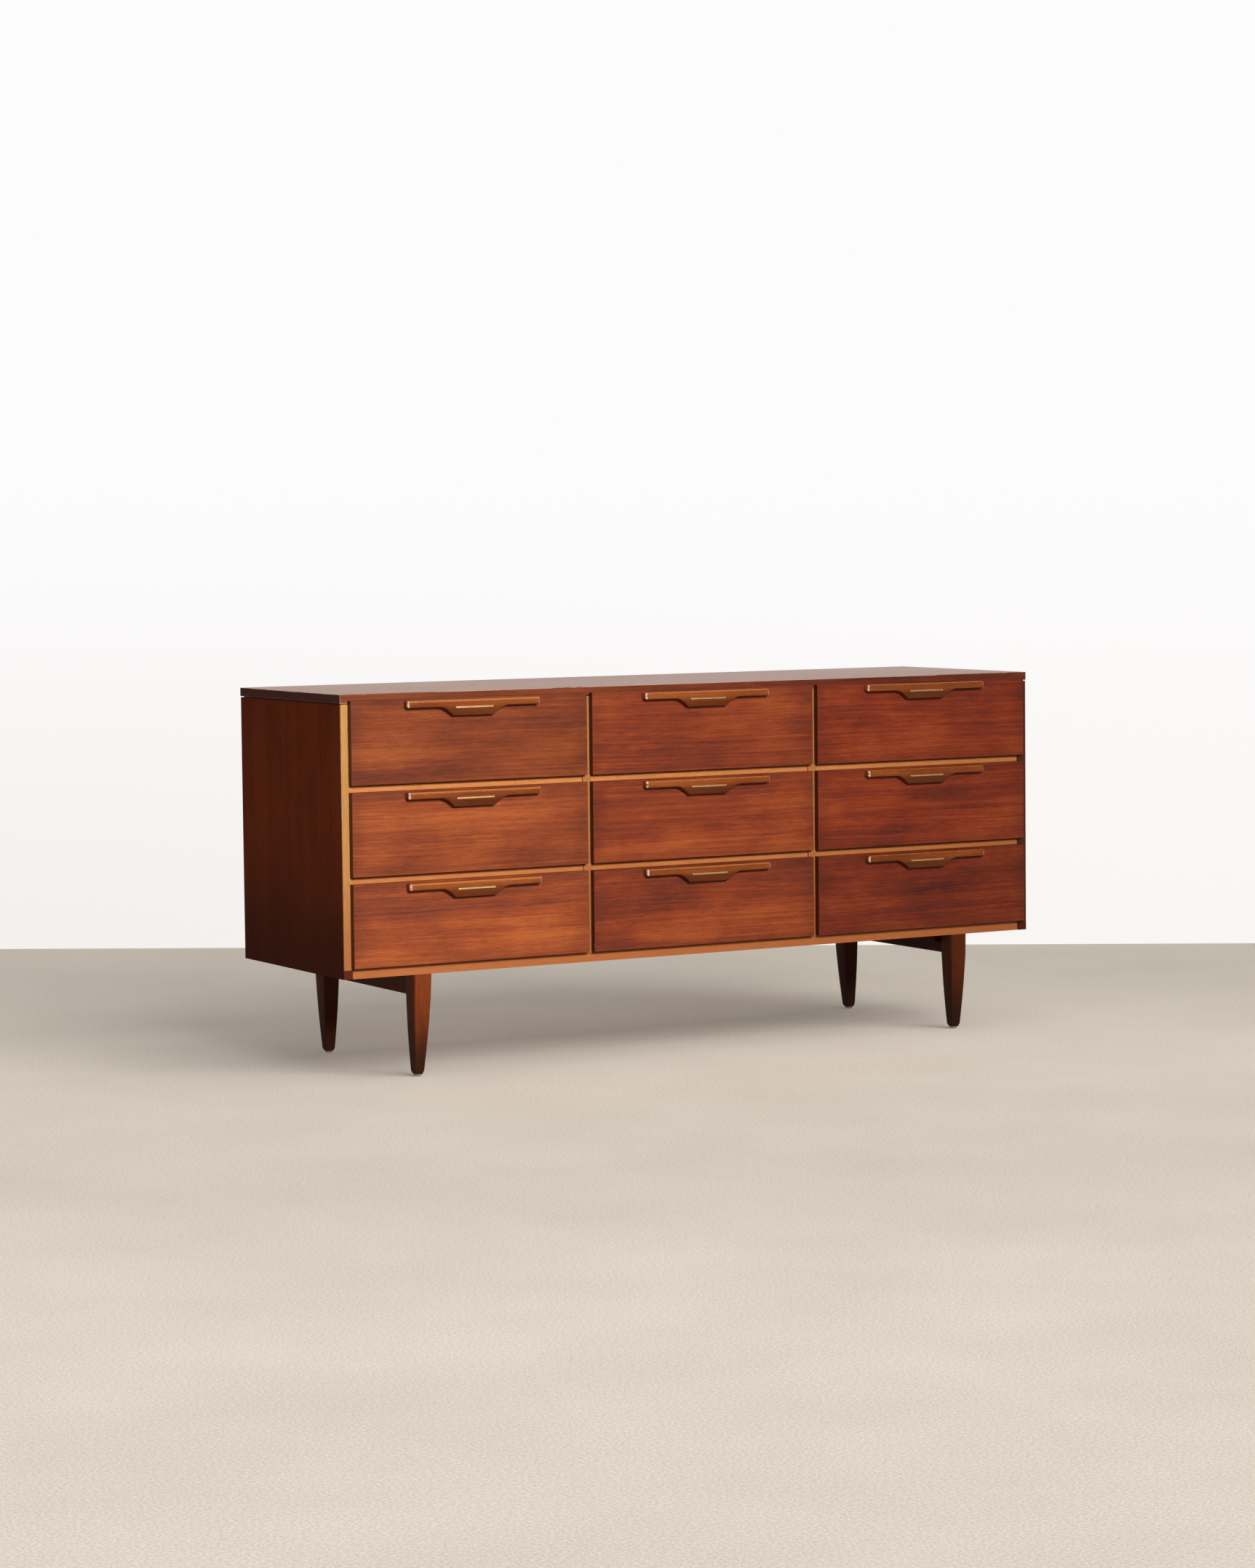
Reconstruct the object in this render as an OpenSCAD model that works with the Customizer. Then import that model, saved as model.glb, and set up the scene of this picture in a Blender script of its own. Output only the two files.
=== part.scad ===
// Long low dresser on two leg frames: a case of three columns, with three overlay drawers in each.
// Millimetres, +Z up, floor at Z = 0, front towards -Y. The origin is under the middle of the whole
// piece, pulls included.

/* [Overall] */
// Width of the top board
overall_w = 1695; // [1500:5:1900]
// Depth of the top board, which the case shares; drawer fronts and pulls stand in front of it
case_d = 490; // [470:5:560]
// Height from the floor to the top surface
overall_h = 792; // [740:1:880]
// Height of the case's underside above the floor
leg_clear = 213.5; // [170:0.5:260]

/* [Boards] */
// Thickness of the side panels, dividers, rails and bottom
board_t = 19; // [17:0.5:22]
// Thickness of the top board
top_t = 18; // [16:0.5:24]
// How far the top board stands out past each side panel
top_overhang = 1.5; // [0:0.5:8]
// Shadow gap between the case and the top board
reveal = 2; // [1:0.5:5]
// Thickness of the solid lippings on the front edges of the upright boards
lipping_t = 4; // [2:0.5:8]
// Thickness of the back panel
back_t = 6; // [4:0.5:9]
// Depth of the front rails, front to back
rail_d = 60; // [40:5:90]

/* [Drawers] */
// Width of a drawer front
front_w = 545.5; // [543:0.5:551]
// Height of a drawer front
front_h = 171.5; // [169:0.5:174]
// Thickness of a drawer front
front_t = 14; // [12:0.5:22]
// Height of a drawer front's lower edge above its opening's floor
front_lift = 3.3; // [2:0.1:5]
// Gap between a closed drawer front and the case
close_gap = 0.5; // [0.4:0.1:2]
// Length of the drawer box, front to back
box_d = 440; // [380:5:450]
// Height of the drawer box
box_h = 150; // [120:1:152]
// Thickness of the drawer box's sides, inner front and back
side_t = 12; // [10:0.5:15]
// Thickness of the drawer bottom
bottom_t = 6; // [4:0.5:8]

/* [Pulls] */
// Length of a pull
pull_w = 306; // [240:2:360]
// How far a pull stands out from the drawer front
pull_d = 19; // [16:0.5:24]
// Height of the slim arms of a pull
arm_h = 14.5; // [13:0.5:16]
// Height of the hanging middle of a pull
lobe_h = 33; // [28:0.5:40]
// Width of the hanging middle, between the curved sweeps
lobe_w = 93; // [90:1:110]
// Width of each curved sweep from the arm down to the middle
sweep_w = 33; // [26:1:45]
// Distance of a pull's top edge below the drawer front's top edge
pull_drop = 3.5; // [1:0.5:12]
// Depth of the finger hollow behind the middle
scoop_d = 11; // [8:0.5:12]
// Length of the brass inlay bar
inlay_w = 86; // [60:1:86]
// Height of the brass inlay bar
inlay_h = 4; // [3:0.5:6]

/* [Legs] */
// Width of a leg where it meets the case, left to right
leg_w = 38; // [34:1:46]
// Depth of a leg where it meets the case, front to back
leg_d = 44; // [40:1:54]
// Width of a leg's foot
foot_w = 20.5; // [18:0.5:28]
// Depth of a leg's foot
foot_d = 23; // [20:0.5:30]
// Distance from the end of the top board in to a leg's outer face
leg_inset = 163; // [120:1:240]
// Height of the stretcher between a front and a rear leg
stretcher_h = 45; // [35:1:60]
// Thickness of the stretcher
stretcher_t = 20; // [16:0.5:22]

/* [Hidden] */
ROWS = ["top", "middle", "bottom"];
COLS = ["left", "centre", "right"];
DRAWERS = [for (r = [0:2]) for (c = [0:2]) [r, c]];
function drawer_name(part, r, c) = str(part, "_", ROWS[r], "_", COLS[c]);
CASE_NODES = [
    "top_panel", "side_panel_left", "side_panel_right", "divider_left", "divider_right",
    "bottom_panel", "back_panel", "front_rails", "rear_rails", "drawer_runners", "centre_guides",
    "edge_lippings", "corner_blocks", "top_cleats", "stretcher_left", "stretcher_right",
    "base_cleats", "foot_glides", "leg_screws", "back_screws",
    "leg_front_left", "leg_front_right", "leg_rear_left", "leg_rear_right"
];
DRAWER_PARTS = ["drawer_front", "drawer_box", "drawer_pull", "pull_inlay"];

// Colours of the woods and metals
fine_veneer = [0.55, 0.25, 0.15];
dark_veneer = [0.26, 0.12, 0.07];
pale_wood = [0.82, 0.60, 0.36];
box_wood = [0.72, 0.58, 0.42];
leg_wood = [0.42, 0.22, 0.12];
pull_wood = [0.50, 0.29, 0.14];
brass_tone = [0.90, 0.78, 0.56];
steel_tone = [0.62, 0.62, 0.62];

// The inlay stands this far proud of its pull, which puts it at the very front
inlay_proud = 0.4;
inlay_depth = 2.5;
front_stand = close_gap + front_t + pull_d + inlay_proud;
front_y = (front_stand - case_d) / 2;
back_y = front_y + case_d;
face_y = front_y - close_gap - front_t;
rail_y = front_y + lipping_t;

case_w = overall_w - 2 * top_overhang;
inner_w = case_w - 2 * board_t;
open_w = (inner_w - 2 * board_t) / 3;
case_top = overall_h - top_t - reveal;
floor_z = leg_clear + board_t;
open_h = (case_top - floor_z - 2 * board_t) / 3;
function col_x(c) = (c - 1) * (open_w + board_t);
function row_z(r) = floor_z + (2 - r) * (open_h + board_t);

// The back panel lies in a rabbet of the side panels, a little inside their rear edges
back_set = 2;
rabbet_w = 10;
back_front_y = back_y - back_set - back_t;
rear_rail_d = 30;
runner_w = 30;
guide_w = 25;
guide_h = 8;
cleat_w = 19;
cleat_h = 14;
cleat_set = 20;
spacer_set = 5;
guide_set = 20;

// Drawer box: clear of the opening at each side, and lifted off the runners
side_gap = 3;
run_gap = 1;
box_w = open_w - 2 * side_gap;
glue = 0.1;
groove_z = 10;
groove_in = 5;
channel_w = 12;
channel_gap = 1.5;
channel_lift = 1.5;

// Leg frame
foot_in = 6;
foot_back = 16;
toe_h = 7;
toe_round = 2.5;
slice_t = 0.5;
shoulder_in = 1.5;
shoulder_back = 1;
glide_h = 5;
glide_r = 8;
glide_taper = 2;
leg_x = -overall_w / 2 + leg_inset;
stretcher_set = 6;
base_cleat = 22;
base_cleat_set = 12;

// Screws: shank radius, head radius and the clearance of a pilot hole
leg_screw_r = 2;
leg_screw_head_r = 4;
leg_screw_len = 33;
leg_screw_pitch = 130;
back_screw_r = 1.3;
back_screw_head_r = 3;
back_screw_len = 18;
back_screw_rows = 4;
back_screw_inset = 35;
pilot = 0.05;
head_t = 1.2;
bore_fn = 48;

// How far a cut runs on past the face that it opens
past = 1;

module block(lo, hi) {
    translate(lo)
        cube(hi - lo);
}

// Both halves of a left and right pair about X = 0
module both_sides() {
    for (s = [0, 1])
        mirror([s, 0, 0])
            children();
}

// ---- Screws ----

function leg_screw_x() = leg_x + stretcher_set + stretcher_t + base_cleat / 2;
function leg_screw_y(i) = front_y + case_d / 2 + (i - 1) * leg_screw_pitch;

// Shanks of the screws that hold the cleats of both leg frames up to the case
module leg_screw_shanks(extra) {
    both_sides()
        for (i = [0:2])
            translate([leg_screw_x(), leg_screw_y(i), leg_clear - base_cleat])
                cylinder(r = leg_screw_r + extra, h = leg_screw_len + extra, $fn = bore_fn);
}

back_screw_xs = [for (s = [-1, 1]) for (x = [(inner_w + rabbet_w) / 2, (open_w + board_t) / 2]) s * x];
back_screw_step = (case_top - floor_z - 2 * back_screw_inset) / (back_screw_rows - 1);
back_screw_zs = [for (i = [0:back_screw_rows - 1]) floor_z + back_screw_inset + i * back_screw_step];

// Shanks of the screws through the back panel into the upright boards
module back_screw_shanks(extra) {
    for (x = back_screw_xs)
        for (z = back_screw_zs)
            translate([x, back_front_y + back_t + extra, z])
                rotate([90, 0, 0])
                    cylinder(r = back_screw_r + extra, h = back_screw_len + 2 * extra, $fn = bore_fn);
}

module leg_screws() {
    color(steel_tone) {
        leg_screw_shanks(0);
        both_sides()
            for (i = [0:2])
                translate([leg_screw_x(), leg_screw_y(i), leg_clear - base_cleat - head_t])
                    cylinder(r = leg_screw_head_r, h = head_t, $fn = bore_fn);
    }
}

module back_screws() {
    color(steel_tone) {
        back_screw_shanks(0);
        for (x = back_screw_xs)
            for (z = back_screw_zs)
                translate([x, back_front_y + back_t + head_t, z])
                    rotate([90, 0, 0])
                        cylinder(r = back_screw_head_r, h = head_t, $fn = bore_fn);
    }
}

// ---- Case ----

module top_panel() {
    color(fine_veneer)
        block([-overall_w / 2, front_y, overall_h - top_t], [overall_w / 2, back_y, overall_h]);
}

// One side panel, with a rabbet for the back panel down its rear inner edge
module side_panel() {
    rabbet_x = -inner_w / 2 - rabbet_w;
    color(dark_veneer)
        difference() {
            block([-case_w / 2, rail_y, leg_clear], [-inner_w / 2, back_y, case_top]);
            block([rabbet_x, back_front_y, leg_clear - past], [0, back_y + past, case_top + past]);
            back_screw_shanks(pilot);
        }
}

module side_panel_left() {
    side_panel();
}

module side_panel_right() {
    mirror([1, 0, 0])
        side_panel();
}

// One upright divider, centred at the given x
module divider(x) {
    color(box_wood)
        difference() {
            block([x - board_t / 2, rail_y, floor_z], [x + board_t / 2, back_front_y, case_top]);
            back_screw_shanks(pilot);
        }
}

module divider_left() {
    divider(-(open_w + board_t) / 2);
}

module divider_right() {
    divider((open_w + board_t) / 2);
}

module bottom_panel() {
    color(pale_wood)
        difference() {
            block([-inner_w / 2, rail_y, leg_clear], [inner_w / 2, back_front_y, floor_z]);
            leg_screw_shanks(pilot);
        }
}

module back_panel() {
    edge_x = inner_w / 2 + rabbet_w;
    color(box_wood)
        difference() {
            block([-edge_x, back_front_y, leg_clear], [edge_x, back_front_y + back_t, case_top]);
            back_screw_shanks(pilot);
        }
}

// A board across each opening between two rows, from y_a to y_b
module row_rails(y_a, y_b) {
    for (c = [0:2])
        for (r = [0:1])
            block([col_x(c) - open_w / 2, y_a, row_z(r) - board_t], [col_x(c) + open_w / 2, y_b, row_z(r)]);
}

module front_rails() {
    color(pale_wood)
        row_rails(rail_y, rail_y + rail_d);
}

module rear_rails() {
    color(box_wood)
        row_rails(back_front_y - rear_rail_d, back_front_y);
}

// Strips level with the rails, down both sides of each opening, that carry the drawer sides
module drawer_runners() {
    y_a = rail_y + rail_d;
    y_b = back_front_y - rear_rail_d;
    color(box_wood)
        for (c = [0:2])
            for (r = [0:1])
                for (s = [-1, 1]) {
                    x = col_x(c) + s * (open_w - runner_w) / 2;
                    block([x - runner_w / 2, y_a, row_z(r) - board_t], [x + runner_w / 2, y_b, row_z(r)]);
                }
}

// A strip down the middle of each opening's floor that steers the drawer
module centre_guides() {
    color(pale_wood)
        for (d = DRAWERS)
            translate([col_x(d[1]), 0, row_z(d[0])])
                block([-guide_w / 2, rail_y + side_t + guide_set, 0], [guide_w / 2, back_front_y, guide_h]);
}

// Solid strips on the front edges of the side panels and dividers
module edge_lippings() {
    xs = [(inner_w + board_t) / 2, (open_w + board_t) / 2];
    color(pale_wood)
        both_sides()
            for (x = xs)
                block([-x - board_t / 2, front_y, floor_z], [-x + board_t / 2, rail_y, case_top]);
}

// Small blocks that finish the lippings at the two lower front corners
module corner_blocks() {
    color(dark_veneer)
        both_sides()
            block([-case_w / 2, front_y, leg_clear], [-inner_w / 2, rail_y, floor_z]);
}

// Thin strips on the side panels and the back panel, set in from their faces, that close the shadow gap
module top_spacers() {
    z_b = case_top + reveal;
    y_b = back_y - spacer_set;
    both_sides()
        block([-case_w / 2 + spacer_set, front_y + spacer_set, case_top], [-inner_w / 2 - glue, y_b, z_b]);
    block([-inner_w / 2, back_front_y + glue, case_top], [inner_w / 2, y_b, z_b]);
}

// Strips under the top board, down both sides of each column; the top rests on them over the shadow gap
module top_cleats() {
    y_a = rail_y + cleat_set;
    z_b = case_top + reveal;
    color(box_wood) {
        top_spacers();
        for (c = [0:2])
            for (s = [-1, 1]) {
                x = col_x(c) + s * (open_w - cleat_w) / 2;
                block([x - cleat_w / 2, y_a, z_b - cleat_h], [x + cleat_w / 2, back_front_y, z_b]);
            }
    }
}

// ---- Leg frames ----

// A flat slice of the leg between two corners, at a height
module leg_slice(lo, hi, z) {
    block([lo[0], lo[1], z - slice_t / 2], [hi[0], hi[1], z + slice_t / 2]);
}

// Left front leg: square where the stretcher meets it, then tapered, most on its front and inner faces
module leg_shape() {
    foot_lo = [foot_in, foot_back];
    foot_hi = foot_lo + [foot_w, foot_d];
    round_by = [toe_round, toe_round];
    translate([leg_x, rail_y, 0])
        hull() {
            leg_slice([0, 0], [leg_w, leg_d], leg_clear - slice_t / 2);
            leg_slice([0, shoulder_back], [leg_w - shoulder_in, leg_d], leg_clear - stretcher_h);
            leg_slice(foot_lo, foot_hi, glide_h + toe_h);
            leg_slice(foot_lo + round_by, foot_hi - round_by, glide_h + slice_t / 2);
        }
}

// Turned about the middle of the case's depth, front to back
module at_rear() {
    translate([0, front_y + back_y, 0])
        mirror([0, 1, 0])
            children();
}

module leg_front_left() {
    color(leg_wood)
        leg_shape();
}

module leg_front_right() {
    color(leg_wood)
        mirror([1, 0, 0])
            leg_shape();
}

module leg_rear_left() {
    color(leg_wood)
        at_rear()
            leg_shape();
}

module leg_rear_right() {
    color(leg_wood)
        at_rear()
            mirror([1, 0, 0])
                leg_shape();
}

// Side rail between a front and a rear leg, set back from their outer faces
module stretcher() {
    x = leg_x + stretcher_set;
    y_a = rail_y + leg_d;
    y_b = front_y + back_y - y_a;
    color(leg_wood)
        block([x, y_a, leg_clear - stretcher_h], [x + stretcher_t, y_b, leg_clear]);
}

module stretcher_left() {
    stretcher();
}

module stretcher_right() {
    mirror([1, 0, 0])
        stretcher();
}

// Square strips inside the stretchers, screwed up into the case
module base_cleats() {
    x = leg_x + stretcher_set + stretcher_t;
    y_a = rail_y + leg_d + base_cleat_set;
    y_b = front_y + back_y - y_a;
    color(leg_wood)
        difference() {
            both_sides()
                block([x, y_a, leg_clear - base_cleat], [x + base_cleat, y_b, leg_clear]);
            leg_screw_shanks(pilot);
        }
}

// Metal glides under the four feet, with a tapered lower edge
module foot_glides() {
    x = leg_x + foot_in + foot_w / 2;
    y = rail_y + foot_back + foot_d / 2;
    color(steel_tone)
        both_sides()
            for (glide_y = [y, front_y + back_y - y])
                translate([x, glide_y, 0]) {
                    cylinder(r1 = glide_r - glide_taper, r2 = glide_r, h = glide_taper, $fn = bore_fn);
                    translate([0, 0, glide_taper])
                        cylinder(r = glide_r, h = glide_h - glide_taper, $fn = bore_fn);
                }
}

// ---- Drawers ----

// Places a piece in drawer r, c: its origin is the middle of the opening's floor, at the case's front plane
module in_drawer(r, c) {
    translate([col_x(c), front_y - close_gap, row_z(r)])
        children();
}

module drawer_front(r, c) {
    color(fine_veneer)
        in_drawer(r, c)
            block([-front_w / 2, -front_t, front_lift], [front_w / 2, 0, front_lift + front_h]);
}

// Left side board of a drawer box, grooved for the bottom
module box_side() {
    x = -box_w / 2;
    groove_top = groove_z + bottom_t + glue;
    difference() {
        block([x, 0, 0], [x + side_t, box_d, box_h]);
        block([x + side_t - groove_in, -past, groove_z], [0, box_d + past, groove_top]);
    }
}

// Inner front of a drawer box, grooved for the bottom
module box_inner_front() {
    x = box_w / 2 - side_t - glue;
    groove_top = groove_z + bottom_t + glue;
    difference() {
        block([-x, 0, 0], [x, side_t, box_h]);
        block([-x - past, side_t - groove_in, groove_z], [x + past, side_t + past, groove_top]);
    }
}

// Wooden box of two sides, inner front, back, bottom and the two strips that straddle the centre guide
module drawer_box(r, c) {
    back_x = box_w / 2 - side_t - glue;
    back_z = groove_z + bottom_t + glue;
    bottom_x = box_w / 2 - side_t + groove_in - glue;
    bottom_y = side_t - groove_in + glue;
    strip_x = guide_w / 2 + channel_gap;
    color(box_wood)
        in_drawer(r, c)
            translate([0, 0, run_gap]) {
                both_sides()
                    box_side();
                box_inner_front();
                block([-back_x, box_d - side_t, back_z], [back_x, box_d, box_h]);
                block([-bottom_x, bottom_y, groove_z + glue], [bottom_x, box_d, groove_z + bottom_t]);
                both_sides()
                    block([strip_x, side_t + glue, channel_lift], [strip_x + channel_w, box_d, groove_z]);
            }
}

// Points on an arc about x, y, as a list
turn_step = 15;
function arc(x, y, r, from, to) = [for (a = [from:turn_step:to]) [x + r * cos(a), y + r * sin(a)]];

// Bar with round ends, seen from the front and centred at the origin
function bar(w, h) = concat(
    arc((w - h) / 2, 0, h / 2, -90, 90),
    arc((h - w) / 2, 0, h / 2, 90, 270)
);

// One sweep: it leaves the arm smoothly and meets the middle's lower edge at a crisp corner.
// k runs from 0 at the arm to 1 at the hanging middle
sweep_steps = 12;
function sweep_point(k) = [
    -lobe_w / 2 - sweep_w * (1 - k),
    -arm_h - (lobe_h - arm_h) * (1 - cos(90 * k))
];
left_sweep = [for (i = [0:sweep_steps]) sweep_point(i / sweep_steps)];
right_sweep = [for (i = [sweep_steps:-1:0]) [-left_sweep[i][0], left_sweep[i][1]]];
end_r = 5;
top_r = 3;
pull_outline = concat(
    arc(-pull_w / 2 + top_r, -top_r, top_r, 90, 180),
    arc(-pull_w / 2 + end_r, -arm_h + end_r, end_r, 180, 270),
    left_sweep,
    right_sweep,
    arc(pull_w / 2 - end_r, -arm_h + end_r, end_r, 270, 360),
    arc(pull_w / 2 - top_r, -top_r, top_r, 0, 90)
);
scoop_wall = 2.5;
scoop_w = lobe_w - 2 * scoop_wall;
scoop_top = 15;
inlay_z = 15.6;

// Places a piece of the pull: its origin is the middle of the pull's top edge, on the drawer front's face
module on_front(r, c) {
    in_drawer(r, c)
        translate([0, -front_t, front_lift + front_h - pull_drop])
            children();
}

// Extrudes an outline drawn in X and Z, out of the drawer front by depth
module outwards(depth) {
    rotate([90, 0, 0])
        linear_extrude(depth)
            children();
}

// Wooden pull: two slim arms, a hanging middle with a finger hollow behind it, and a pocket for the inlay
module drawer_pull(r, c) {
    color(pull_wood)
        on_front(r, c)
            difference() {
                outwards(pull_d)
                    polygon(pull_outline);
                block([-scoop_w / 2, -scoop_d, -lobe_h - past], [scoop_w / 2, past, -scoop_top]);
                translate([0, -pull_d + inlay_depth, -inlay_z])
                    outwards(inlay_depth + past)
                        polygon(bar(inlay_w + 2 * glue, inlay_h + 2 * glue));
            }
}

// Brass bar let into the face of the pull
module pull_inlay(r, c) {
    color(brass_tone)
        on_front(r, c)
            translate([0, -pull_d + inlay_depth, -inlay_z])
                outwards(inlay_depth + inlay_proud)
                    polygon(bar(inlay_w, inlay_h));
}

top_panel();
side_panel_left();
side_panel_right();
divider_left();
divider_right();
bottom_panel();
back_panel();
front_rails();
rear_rails();
drawer_runners();
centre_guides();
edge_lippings();
corner_blocks();
top_cleats();
stretcher_left();
stretcher_right();
base_cleats();
foot_glides();
leg_screws();
back_screws();
leg_front_left();
leg_front_right();
leg_rear_left();
leg_rear_right();
for (d = DRAWERS) {
    drawer_front(d[0], d[1]);
    drawer_box(d[0], d[1]);
    drawer_pull(d[0], d[1]);
    pull_inlay(d[0], d[1]);
}
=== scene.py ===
import math

import bmesh
import bpy
from mathutils import Matrix, Vector


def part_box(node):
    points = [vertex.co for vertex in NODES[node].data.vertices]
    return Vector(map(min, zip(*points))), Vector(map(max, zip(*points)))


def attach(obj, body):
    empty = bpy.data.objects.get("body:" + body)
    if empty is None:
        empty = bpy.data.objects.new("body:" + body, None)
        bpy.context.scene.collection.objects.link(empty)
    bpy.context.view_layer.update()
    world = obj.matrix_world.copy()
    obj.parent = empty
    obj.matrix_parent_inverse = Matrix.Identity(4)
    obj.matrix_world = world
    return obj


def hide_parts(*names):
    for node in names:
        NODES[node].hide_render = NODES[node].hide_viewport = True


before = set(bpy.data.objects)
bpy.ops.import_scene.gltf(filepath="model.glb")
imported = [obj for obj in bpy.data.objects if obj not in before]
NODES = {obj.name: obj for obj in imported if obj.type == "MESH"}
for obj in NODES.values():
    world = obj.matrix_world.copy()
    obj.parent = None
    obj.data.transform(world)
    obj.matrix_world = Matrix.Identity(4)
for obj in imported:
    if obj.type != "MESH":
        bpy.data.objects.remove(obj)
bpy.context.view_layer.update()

ROWS = ("top", "middle", "bottom")
COLS = ("left", "centre", "right")
KEYS = [f"{row}_{col}" for row in ROWS for col in COLS]
MM = 0.001


# ---- Camera ----

CAMERA_AT = (-4.14149, -7.15468, 1.11196)
CAMERA_YAW = 29.7591
CAMERA_DOWN = 3.786
CAMERA_ROLL = -0.6154
CAMERA_LENS = 87.178


def make_camera():
    yaw, down, roll = (math.radians(a) for a in (CAMERA_YAW, CAMERA_DOWN, CAMERA_ROLL))
    forward = Vector((math.sin(yaw) * math.cos(down), math.cos(yaw) * math.cos(down), -math.sin(down)))
    level = Vector((math.cos(yaw), -math.sin(yaw), 0))
    upright = level.cross(forward)
    right = level * math.cos(roll) + upright * math.sin(roll)
    up = upright * math.cos(roll) - level * math.sin(roll)
    data = bpy.data.cameras.new("camera")
    data.lens = CAMERA_LENS
    data.sensor_width = 36
    data.clip_end = 100
    camera = bpy.data.objects.new("camera", data)
    turn = Matrix((right, up, -forward)).transposed().to_4x4()
    camera.matrix_world = Matrix.Translation(CAMERA_AT) @ turn
    bpy.context.scene.collection.objects.link(camera)
    bpy.context.scene.camera = camera


# ---- Shader nodes ----


class Tree:
    """A material's node tree, with short calls for the nodes used here.
    Wherever a value is asked for, it may be a number or a socket."""

    def __init__(self, name):
        self.material = bpy.data.materials.new(name)
        self.material.use_nodes = True
        self.nodes = self.material.node_tree.nodes
        self.links = self.material.node_tree.links
        self.shader = self.nodes["Principled BSDF"]

    def put(self, socket, value):
        if isinstance(value, bpy.types.NodeSocket):
            self.links.new(value, socket)
        else:
            socket.default_value = value

    def add(self, kind, inputs=(), **settings):
        node = self.nodes.new(kind)
        for key, value in settings.items():
            setattr(node, key, value)
        for key, value in dict(inputs).items():
            self.put(node.inputs[key], value)
        return node

    def math(self, operation, a, b=0.0, clamp=False):
        node = self.add("ShaderNodeMath", {0: a, 1: b}, operation=operation)
        node.use_clamp = clamp
        return node.outputs[0]

    def rescale(self, value, low, high, to_low=0.0, to_high=1.0, smooth=True):
        kind = "SMOOTHSTEP" if smooth else "LINEAR"
        sizes = {"From Min": low, "From Max": high, "To Min": to_low, "To Max": to_high}
        return self.add("ShaderNodeMapRange", {"Value": value, **sizes}, interpolation_type=kind).outputs[0]

    def mix(self, share, a, b, blend="MIX"):
        node = self.add("ShaderNodeMix", data_type="RGBA", blend_type=blend)
        for socket, value in zip((node.inputs[0], node.inputs[6], node.inputs[7]), (share, a, b)):
            self.put(socket, value)
        return node.outputs[2]

    def place(self):
        """Object coordinates: the frame's own metres, and they travel with a drawer."""
        return self.add("ShaderNodeTexCoord").outputs["Object"]

    def split(self, vector):
        return self.add("ShaderNodeSeparateXYZ", {0: vector}).outputs

    def scaled(self, vector, scale, offset=(0, 0, 0)):
        inputs = {"Vector": vector, "Scale": scale, "Location": offset}
        return self.add("ShaderNodeMapping", inputs).outputs[0]

    def noise(self, vector, detail=2.0, roughness=0.5, distortion=0.0, scale=1.0):
        sizes = {"Scale": scale, "Detail": detail, "Roughness": roughness, "Distortion": distortion}
        return self.add("ShaderNodeTexNoise", {"Vector": vector, **sizes}).outputs[0]

    def ramp(self, value, stops):
        node = self.add("ShaderNodeValToRGB", {0: value})
        elements = node.color_ramp.elements
        while len(elements) < len(stops):
            elements.new(0.5)
        for element, (position, colour) in zip(elements, stops):
            element.position = position
            element.color = (*colour, 1)
        return node.outputs[0]

    def times(self, a, b):
        return self.math("MULTIPLY", a, b)

    def plus(self, a, b):
        return self.math("ADD", a, b)

    def minus(self, a, b):
        return self.math("SUBTRACT", a, b)

    def distance(self, value, middle):
        """How far a coordinate is from a middle, on either side."""
        return self.math("ABSOLUTE", self.minus(value, middle))

    def finish(self, colour, roughness, bump=None, bump_depth=0.0, **constants):
        self.put(self.shader.inputs["Base Color"], colour)
        self.put(self.shader.inputs["Roughness"], roughness)
        if bump is not None:
            sizes = {"Height": bump, "Strength": 1.0, "Distance": bump_depth}
            self.put(self.shader.inputs["Normal"], self.add("ShaderNodeBump", sizes).outputs[0])
        for key, value in constants.items():
            self.shader.inputs[key.replace("_", " ")].default_value = value
        return self.material


SEED_STEP = (7.31, 3.17, 5.83)
WAVES_ACROSS = 9.0
WAVES_ALONG = 1.6
WAVE_SIZE = 0.022


def grain_space(tree, axis, seed):
    """Returns stretch(along, across), which gives coordinates for noise that follows the grain.
    along and across are its features per metre; the grain is a little wavy, and seed moves it."""
    place = tree.place()
    drift = [seed * step for step in SEED_STEP]
    slow = [WAVES_ACROSS] * 3
    slow[axis] = WAVES_ALONG
    inputs = {"Vector": tree.scaled(place, slow, drift), "Scale": 1.0, "Detail": 2.0}
    wave = tree.add("ShaderNodeTexNoise", inputs)
    push = tree.add("ShaderNodeVectorMath", {0: wave.outputs[1], 1: (-0.5, -0.5, -0.5)}, operation="ADD")
    size = tree.add("ShaderNodeVectorMath", {0: push.outputs[0], "Scale": WAVE_SIZE}, operation="SCALE")
    bent = tree.add("ShaderNodeVectorMath", {0: place, 1: size.outputs[0]}, operation="ADD").outputs[0]

    def stretch(along, across):
        scale = [across] * 3
        scale[axis] = along
        return tree.scaled(bent, scale, drift)

    return stretch


FIGURE_CONTRAST = 2.6
GLOSS_SWING = 0.24
GRAIN_RELIEF = 0.06 * MM
EDGE_RELIEF = 0.1 * MM
EDGE_ROUGHNESS = 0.38


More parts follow.
